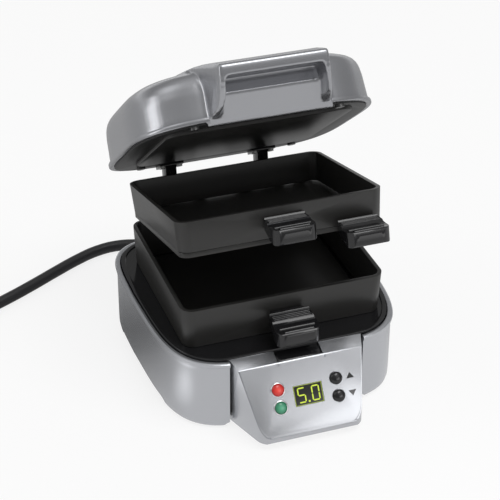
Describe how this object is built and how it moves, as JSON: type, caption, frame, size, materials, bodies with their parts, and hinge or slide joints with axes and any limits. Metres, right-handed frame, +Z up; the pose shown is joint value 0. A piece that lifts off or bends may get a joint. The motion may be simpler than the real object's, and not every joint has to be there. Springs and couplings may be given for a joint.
{
  "type": "breakfast_sandwich_maker",
  "caption": "Silver breakfast sandwich maker, standing part open, with stacked black non-stick rings and a digital timer.",
  "frame": {"origin": "On the surface the appliance stands on, under the middle of its outline seen from above, cord left out.", "axes": "+Z up, +X to the appliance's right as its user sees it, -Y towards the user and the control panel."},
  "size_m": [0.3036, 0.2711, 0.2005],
  "materials": {
    "silver_shell": "satin silver paint on plastic, slightly metallic",
    "silver_lid": "satin silver paint on pressed metal",
    "black_deck": "black heat-resistant plastic, semi-gloss",
    "black_grip": "glossy black phenolic plastic",
    "nonstick": "cast, coated dark grey non-stick, satin",
    "steel": "bare bright steel",
    "shield_plate": "thin bright sheet",
    "element": "sheathed tube, heat-darkened",
    "ceramic": "unglazed ceramic and phenolic",
    "board": "green laminate",
    "components": "blue plastic case",
    "inner_black": "matt black plastic",
    "red_lens": "clear red lens",
    "green_lens": "clear green lens",
    "display_glass": "smoked window",
    "rubber": "soft black, matt",
    "wire": "silicone-sleeved lead, rust red",
    "cord_jacket": "smooth black mains cord",
    "brass": "bright flat blades"
  },
  "bodies": {
    "base": {"base_shell": "silver_shell", "deck": "black_deck", "base_cover": "inner_black", "rubber_feet": "rubber", "cover_screws": "steel", "panel_housing": "silver_shell", "fascia": "silver_shell", "display_window": "display_glass", "display_module": "inner_black", "power_lens": "red_lens", "preheat_lens": "green_lens", "button_switches": "inner_black", "control_board": "board", "board_screws": "steel", "board_relay": "components", "board_capacitor": "components", "lower_heating_plate": "nonstick", "lower_element": "element", "lower_thermostat": "ceramic", "thermal_fuse": "steel", "heat_shield": "shield_plate", "terminal_block": "ceramic", "base_leads": "wire", "hinge_bracket": "black_deck", "bracket_screws": "steel", "hinge_pin": "steel", "pin_clips": "steel", "strain_relief": "rubber", "cord_run": "cord_jacket", "cord_coil": "cord_jacket", "plug_body": "cord_jacket", "plug_blades": "brass"},
    "lower_ring_body": {"lower_ring": "nonstick", "lower_ring_handle": "black_grip", "lower_handle_screw": "steel"},
    "upper_ring_body": {"upper_ring": "nonstick", "upper_ring_handle": "black_grip", "upper_handle_screw": "steel", "swivel_pin": "steel"},
    "plate_body": {"cooking_plate": "nonstick", "plate_handle": "black_grip", "plate_handle_screw": "steel"},
    "lid": {"lid_shell": "silver_lid", "lid_liner": "black_deck", "liner_screws": "steel", "upper_heating_plate": "nonstick", "upper_element": "element", "upper_thermostat": "ceramic", "lid_arms": "black_deck", "arm_screws": "steel", "lid_leads": "wire"},
    "up_button_body": {"up_button": "black_grip"},
    "down_button_body": {"down_button": "black_grip"}
  },
  "joints": [
    {"name": "lower_ring_hinge", "type": "hinge", "parent": "base", "child": "lower_ring_body", "pos_m": [0, 0.0693, 0.0756], "axis": [-1, 0, 0], "range_deg": [0, 25]},
    {"name": "upper_ring_hinge", "type": "hinge", "parent": "lower_ring_body", "child": "upper_ring_body", "pos_m": [0, 0.0693, 0.0756], "axis": [-1, 0, 0], "range_deg": [-15.4, 19.6]},
    {"name": "lid_hinge", "type": "hinge", "parent": "upper_ring_body", "child": "lid", "pos_m": [0, 0.0693, 0.0756], "axis": [-1, 0, 0], "range_deg": [-22.8, 32.2]},
    {"name": "plate_swivel", "type": "hinge", "parent": "upper_ring_body", "child": "plate_body", "pos_m": [0.05, 0.05582, 0.07205], "axis": [0, 0.2656, 0.9641], "range_deg": [0, 90]},
    {"name": "up_button_press", "type": "slide", "parent": "base", "child": "up_button_body", "axis": [0, 0.8467, -0.5321], "range_m": [0, 0.0008], "stiffness_N_per_m": 800, "springref_m": -0.0005},
    {"name": "down_button_press", "type": "slide", "parent": "base", "child": "down_button_body", "axis": [0, 0.8467, -0.5321], "range_m": [0, 0.0008], "stiffness_N_per_m": 800, "springref_m": -0.0005}
  ]
}
